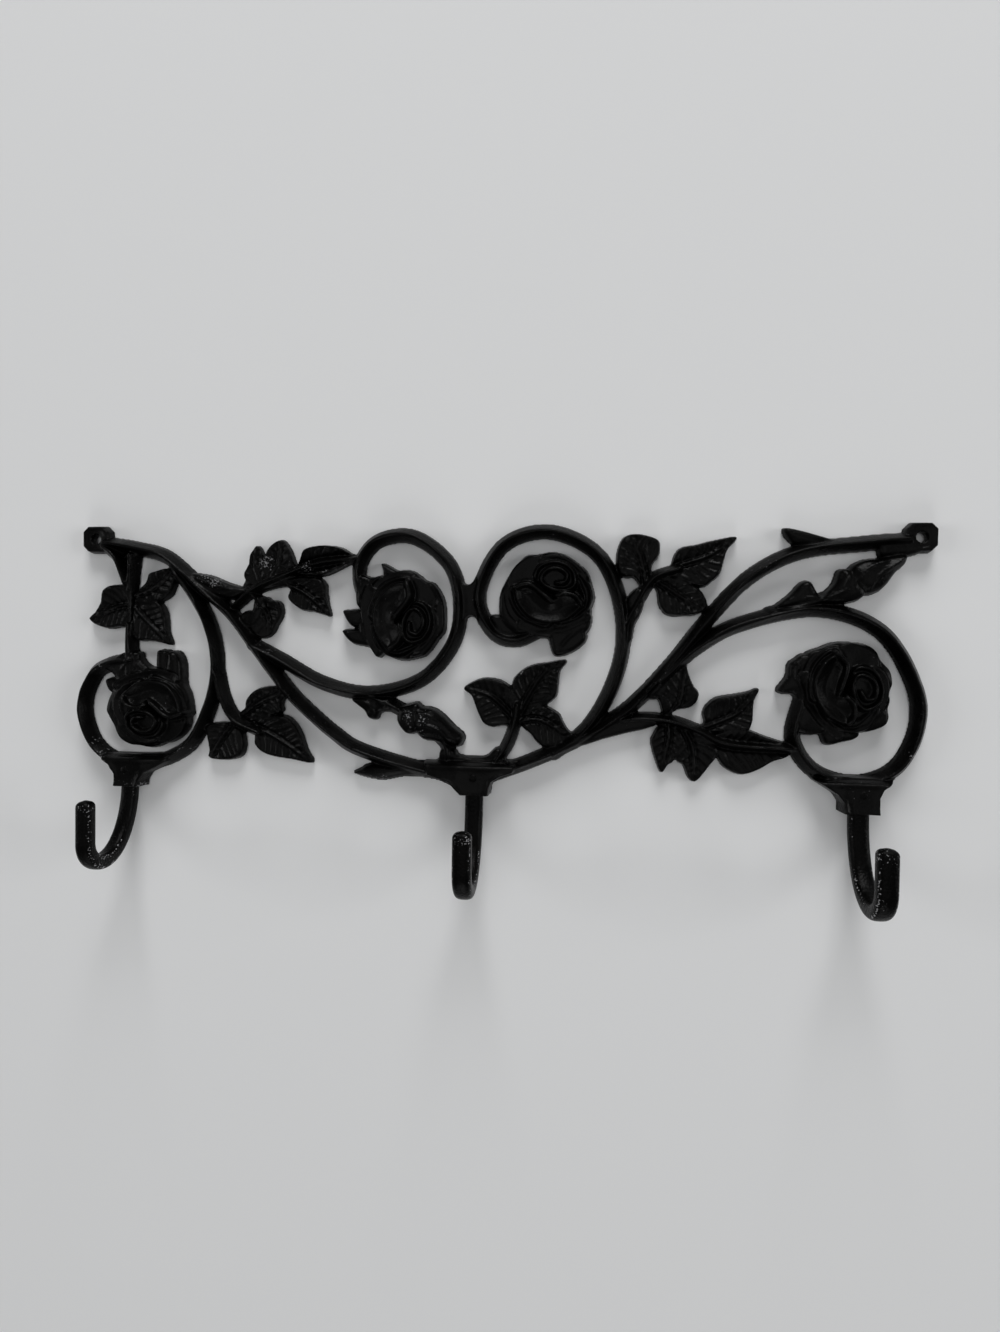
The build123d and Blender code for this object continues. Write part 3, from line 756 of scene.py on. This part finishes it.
def make_hook(name, width):
    """A bar of rounded section along its path, with a round tip."""
    low, high = node_box(name)
    x = (low[0] + high[0]) / 2
    path = hook_path(name)
    tangent = np.gradient(path, axis=0)
    tangent /= np.linalg.norm(tangent, axis=1)[:, None]
    arc = np.concatenate([[0], np.cumsum(np.linalg.norm(np.diff(path, axis=0), axis=1))])
    ring = np.linspace(0, 2 * math.pi, 48, endpoint=False)
    u = np.sign(np.cos(ring)) * np.abs(np.cos(ring)) ** BAR_SQUARENESS * width / 2
    v = np.sign(np.sin(ring)) * np.abs(np.sin(ring)) ** BAR_SQUARENESS * (BAR_THICKNESS / 2 - 0.1)
    verts, wear_and_glint = [], []
    for (y, z), (ty, tz), left in zip(path, tangent, arc[-1] - arc):
        size = math.sqrt(max(1 - (1 - min(left / TIP_ROUND, 1)) ** 2.4, 0.02))
        verts += [(x + a * size, y - tz * b * size, z + ty * b * size) for a, b in zip(u, v)]
        # Painted glints along the edges of the bar, strongest near its front and at the tip
        glint_share = GLINT_FRONT if left < GLINT_LENGTH else GLINT_SHANK
        edge = np.exp(-(((np.abs(u) * 2 / width - 0.86) / 0.12) ** 2)) * glint_share
        wear_and_glint += list(np.maximum(edge, GLINT_FRONT * math.exp(-(((left - 4) / 4) ** 2))))
    n, count = len(ring), len(path)
    faces = [(i * n + j, i * n + (j + 1) % n, (i + 1) * n + (j + 1) % n, (i + 1) * n + j)
             for i in range(count - 1) for j in range(n)]
    faces.append(tuple(range(n - 1, -1, -1)))
    faces.append(tuple(range((count - 1) * n, count * n)))
    hook = make_object(name + "_bar", np.array(verts) * MM, faces)
    hook.data.attributes.new("wear_and_glint", "FLOAT", "POINT").data.foreach_set("value", wear_and_glint)
    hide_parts(name)
    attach(hook, "root")
    return hook


hooks = [make_hook(name, width) for name, width in zip(HOOK_NAMES, HOOK_WIDTHS)]

# Rivets, one through each boss: rings from the low crown of the head to the flat rear end
RIVET_LEVELS = (-146.0, -144.0, -146.5)
RIVET_SIDES = 32
verts, faces = [], []
turns = np.linspace(0, 2 * math.pi, RIVET_SIDES, endpoint=False)
for (x, _, plate, *_), z in zip(BOSSES, RIVET_LEVELS):
    profile = [(0.6, plate + 0.45), (1.2, plate + 0.4), (1.9, plate + 0.25), (2.4, plate - 0.1)]
    profile.append((2.4, BACK_ROOM))
    rings = []
    for r, h in profile:
        rings.append(range(len(verts), len(verts) + RIVET_SIDES))
        verts += [(x + r * math.cos(a), -h, z + r * math.sin(a)) for a in turns]
    for upper, lower in zip(rings[:-1], rings[1:]):
        for j in range(RIVET_SIDES):
            k = (j + 1) % RIVET_SIDES
            faces.append((upper[j], upper[k], lower[k], lower[j]))
    faces.append(tuple(reversed(rings[0])))
    faces.append(tuple(rings[-1]))
rivets = make_object("rivet_heads", np.array(verts) * MM, faces)
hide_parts("hook_rivets")
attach(rivets, "root")


# Sockets of a Mix node that mixes colours
MIX_FACTOR = 0
MIX_A = 6
MIX_B = 7
MIX_RESULT = 2


def paint_material(name, grain, shine, bare_and_glint):
    """Black paint over rough iron: how deep its grain is, how it shines, and how bright its pale spots are,
    which are chips through the paint and painted glints.
    """
    mat = bpy.data.materials.new(name)
    mat.use_nodes = True
    nodes, links = mat.node_tree.nodes, mat.node_tree.links
    shader = nodes["Principled BSDF"]
    place_node = nodes.new("ShaderNodeTexCoord")
    blot = nodes.new("ShaderNodeTexNoise")
    blot.inputs["Scale"].default_value = 60
    blot.inputs["Detail"].default_value = 6
    links.new(place_node.outputs["Object"], blot.inputs["Vector"])
    colour = nodes.new("ShaderNodeValToRGB")
    colour.color_ramp.elements[0].position = 0.35
    colour.color_ramp.elements[0].color = (0.0003, 0.0003, 0.0003, 1)
    colour.color_ramp.elements[1].position = 0.75
    colour.color_ramp.elements[1].color = (0.0014, 0.0013, 0.0012, 1)
    links.new(blot.outputs["Fac"], colour.inputs["Fac"])
    # Small pale spots in patches: chips through the paint, and painted glints where the rough surface
    # catches the light
    fleck = nodes.new("ShaderNodeTexNoise")
    fleck.inputs["Scale"].default_value = 900
    fleck.inputs["Detail"].default_value = 2
    links.new(place_node.outputs["Object"], fleck.inputs["Vector"])
    patch = nodes.new("ShaderNodeTexNoise")
    patch.inputs["Scale"].default_value = 34
    patch.inputs["Detail"].default_value = 3
    links.new(place_node.outputs["Object"], patch.inputs["Vector"])
    wear_and_glint = nodes.new("ShaderNodeAttribute")
    wear_and_glint.attribute_name = "wear_and_glint"
    both = nodes.new("ShaderNodeMath")
    both.operation = "MULTIPLY_ADD"
    both.inputs[1].default_value = 0.28
    links.new(patch.outputs["Fac"], both.inputs[0])
    links.new(fleck.outputs["Fac"], both.inputs[2])
    more = nodes.new("ShaderNodeMath")
    more.operation = "MULTIPLY_ADD"
    more.inputs[1].default_value = 0.21
    links.new(wear_and_glint.outputs["Fac"], more.inputs[0])
    links.new(both.outputs["Value"], more.inputs[2])
    chip_and_glint = nodes.new("ShaderNodeMapRange")
    chip_and_glint.inputs["From Min"].default_value = 0.9
    chip_and_glint.inputs["From Max"].default_value = 0.96
    links.new(more.outputs["Value"], chip_and_glint.inputs["Value"])
    coat = nodes.new("ShaderNodeMix")
    coat.data_type = "RGBA"
    # Pale colour of the chips and of the painted glints
    coat.inputs[MIX_B].default_value = (bare_and_glint, bare_and_glint, bare_and_glint * 1.03, 1)
    links.new(chip_and_glint.outputs["Result"], coat.inputs[MIX_FACTOR])
    links.new(colour.outputs["Color"], coat.inputs[MIX_A])
    links.new(coat.outputs[MIX_RESULT], shader.inputs["Base Color"])
    shader.inputs["Specular IOR Level"].default_value = shine
    gloss = nodes.new("ShaderNodeMapRange")
    gloss.inputs["From Min"].default_value = 0.3
    gloss.inputs["From Max"].default_value = 0.7
    gloss.inputs["To Min"].default_value = 0.24
    gloss.inputs["To Max"].default_value = 0.38
    links.new(blot.outputs["Fac"], gloss.inputs["Value"])
    links.new(gloss.outputs["Result"], shader.inputs["Roughness"])
    sand = nodes.new("ShaderNodeTexNoise")
    sand.inputs["Scale"].default_value = 700
    sand.inputs["Detail"].default_value = 4
    links.new(place_node.outputs["Object"], sand.inputs["Vector"])
    bump = nodes.new("ShaderNodeBump")
    bump.inputs["Strength"].default_value = grain
    bump.inputs["Distance"].default_value = 0.0006
    links.new(sand.outputs["Fac"], bump.inputs["Height"])
    links.new(bump.outputs["Normal"], shader.inputs["Normal"])
    return mat


panel_paint = paint_material("panel_paint", 0.4, 0.075, 0.15)
hook_paint = paint_material("hook_paint", 0.6, 0.05, 0.3)
panel.data.materials.append(panel_paint)
for thing in hooks + [rivets]:
    thing.data.materials.append(hook_paint)

# Pale backdrop just behind the back, seen from the front and clear from behind, in metres
REACH = 30.0
FAR_GREY = (0.22, 0.224, 0.226, 1)
GAP = 0.0008
corners = [(-REACH, GAP, -REACH), (REACH, GAP, -REACH), (REACH, GAP, REACH), (-REACH, GAP, REACH)]
backdrop = make_object("backdrop", corners, [(0, 1, 2, 3)], smooth=False)


def seen_rays(tree):
    """One for a ray that shows the background: from the camera, off a shiny surface or through glass."""
    path = tree.nodes.new("ShaderNodeLightPath")
    total = path.outputs["Is Camera Ray"]
    for kind in ("Is Glossy Ray", "Is Transmission Ray"):
        either = tree.nodes.new("ShaderNodeMath")
        either.operation = "MAXIMUM"
        tree.links.new(total, either.inputs[0])
        tree.links.new(path.outputs[kind], either.inputs[1])
        total = either.outputs["Value"]
    return total


def backdrop_material():
    """A matt pale wall near the rack, an even grey far from it, and clear from behind."""
    mat = bpy.data.materials.new("backdrop")
    mat.use_nodes = True
    nodes, links = mat.node_tree.nodes, mat.node_tree.links
    shader = nodes["Principled BSDF"]
    shader.inputs["Base Color"].default_value = (0.8, 0.805, 0.81, 1)
    shader.inputs["Roughness"].default_value = 0.9
    shader.inputs["Specular IOR Level"].default_value = 0.1
    path = nodes.new("ShaderNodeLightPath")
    # Far from the rack, past the reach of the lamps, the wall shows an even grey
    place_node = nodes.new("ShaderNodeTexCoord")
    away = nodes.new("ShaderNodeVectorMath")
    away.operation = "LENGTH"
    links.new(place_node.outputs["Object"], away.inputs[0])
    far = nodes.new("ShaderNodeMapRange")
    far.inputs["From Min"].default_value = 1.0
    far.inputs["From Max"].default_value = 2.4
    links.new(away.outputs["Value"], far.inputs["Value"])
    seen = nodes.new("ShaderNodeMath")
    seen.operation = "MULTIPLY"
    links.new(far.outputs["Result"], seen.inputs[0])
    links.new(seen_rays(mat.node_tree), seen.inputs[1])
    even = nodes.new("ShaderNodeEmission")
    even.inputs["Color"].default_value = FAR_GREY
    near = nodes.new("ShaderNodeMixShader")
    links.new(seen.outputs["Value"], near.inputs["Fac"])
    links.new(shader.outputs["BSDF"], near.inputs[1])
    links.new(even.outputs["Emission"], near.inputs[2])
    # From behind it is clear, and light from behind reaches the back of the rack
    clear = nodes.new("ShaderNodeBsdfTransparent")
    facing = nodes.new("ShaderNodeNewGeometry")
    behind = nodes.new("ShaderNodeMath")
    behind.operation = "MAXIMUM"
    links.new(facing.outputs["Backfacing"], behind.inputs[0])
    links.new(path.outputs["Is Shadow Ray"], behind.inputs[1])
    mix = nodes.new("ShaderNodeMixShader")
    links.new(behind.outputs["Value"], mix.inputs["Fac"])
    links.new(near.outputs["Shader"], mix.inputs[1])
    links.new(clear.outputs["BSDF"], mix.inputs[2])
    links.new(mix.outputs["Shader"], nodes["Material Output"].inputs["Surface"])
    return mat


backdrop.data.materials.append(backdrop_material())

# A dim room, which shows the same grey as the far part of the backdrop
ROOM_LIGHT = 0.08
ROOM_SEEN = 0.22
world = bpy.data.worlds.new("room")
world.use_nodes = True
room = world.node_tree.nodes["Background"]
room.inputs["Color"].default_value = (0.97, 0.99, 1, 1)
room_level = world.node_tree.nodes.new("ShaderNodeMapRange")
room_level.inputs["To Min"].default_value = ROOM_LIGHT
room_level.inputs["To Max"].default_value = ROOM_SEEN
world.node_tree.links.new(seen_rays(world.node_tree), room_level.inputs["Value"])
world.node_tree.links.new(room_level.outputs["Result"], room.inputs["Strength"])
bpy.context.scene.world = world


# Lamps: soft boxes all round, a wide one in front and one behind for the back, in metres and watts
RACK_MIDDLE = (0, 0, -0.1)
BOX_SIZE = 2.0
PANEL_SIZE = 2.4


def soft_box(name, spot, aim, size, energy):
    """A square lamp at a spot, turned to a point it lights."""
    lamp = bpy.data.lights.new(name, "AREA")
    lamp.shape = "RECTANGLE"
    lamp.size = size
    lamp.size_y = size
    lamp.energy = energy
    thing = bpy.data.objects.new(name, lamp)
    bpy.context.scene.collection.objects.link(thing)
    thing.location = spot
    thing.rotation_euler = (Vector(aim) - Vector(spot)).to_track_quat("-Z", "Y").to_euler()


soft_box("top_light", (0.3, -1.7, 4.1), RACK_MIDDLE, BOX_SIZE, 136)
soft_box("left_light", (-4.1, -1.7, 0.2), RACK_MIDDLE, BOX_SIZE, 43)
soft_box("right_light", (4.2, -1.7, 0.2), RACK_MIDDLE, BOX_SIZE, 58)
soft_box("low_light", (0.0, -1.7, -4.2), RACK_MIDDLE, BOX_SIZE, 38)
soft_box("back_light", (0.6, 2.6, 1.0), RACK_MIDDLE, PANEL_SIZE, 60)
soft_box("front_panel", (0.06, -2.6, 0.1), (0, 0, -0.07), PANEL_SIZE, 14.5)

# Camera
SENSOR_HEIGHT = 36.0
camera = bpy.data.cameras.new("viewer")
camera.sensor_fit = "VERTICAL"
camera.sensor_height = SENSOR_HEIGHT
camera.lens = SENSOR_HEIGHT * LENS_PER_HEIGHT
camera.clip_start = 0.01
viewer = bpy.data.objects.new("viewer", camera)
bpy.context.scene.collection.objects.link(viewer)
right, down, forward = (Vector(v) for v in (CAMERA_RIGHT, CAMERA_DOWN, CAMERA_FORWARD))
camera_turn = Matrix((right, -down, -forward)).transposed()
viewer.matrix_world = Matrix.Translation(Vector(CAMERA_POS) * MM) @ camera_turn.to_4x4()
bpy.context.scene.camera = viewer
bpy.context.scene.view_settings.view_transform = "Standard"
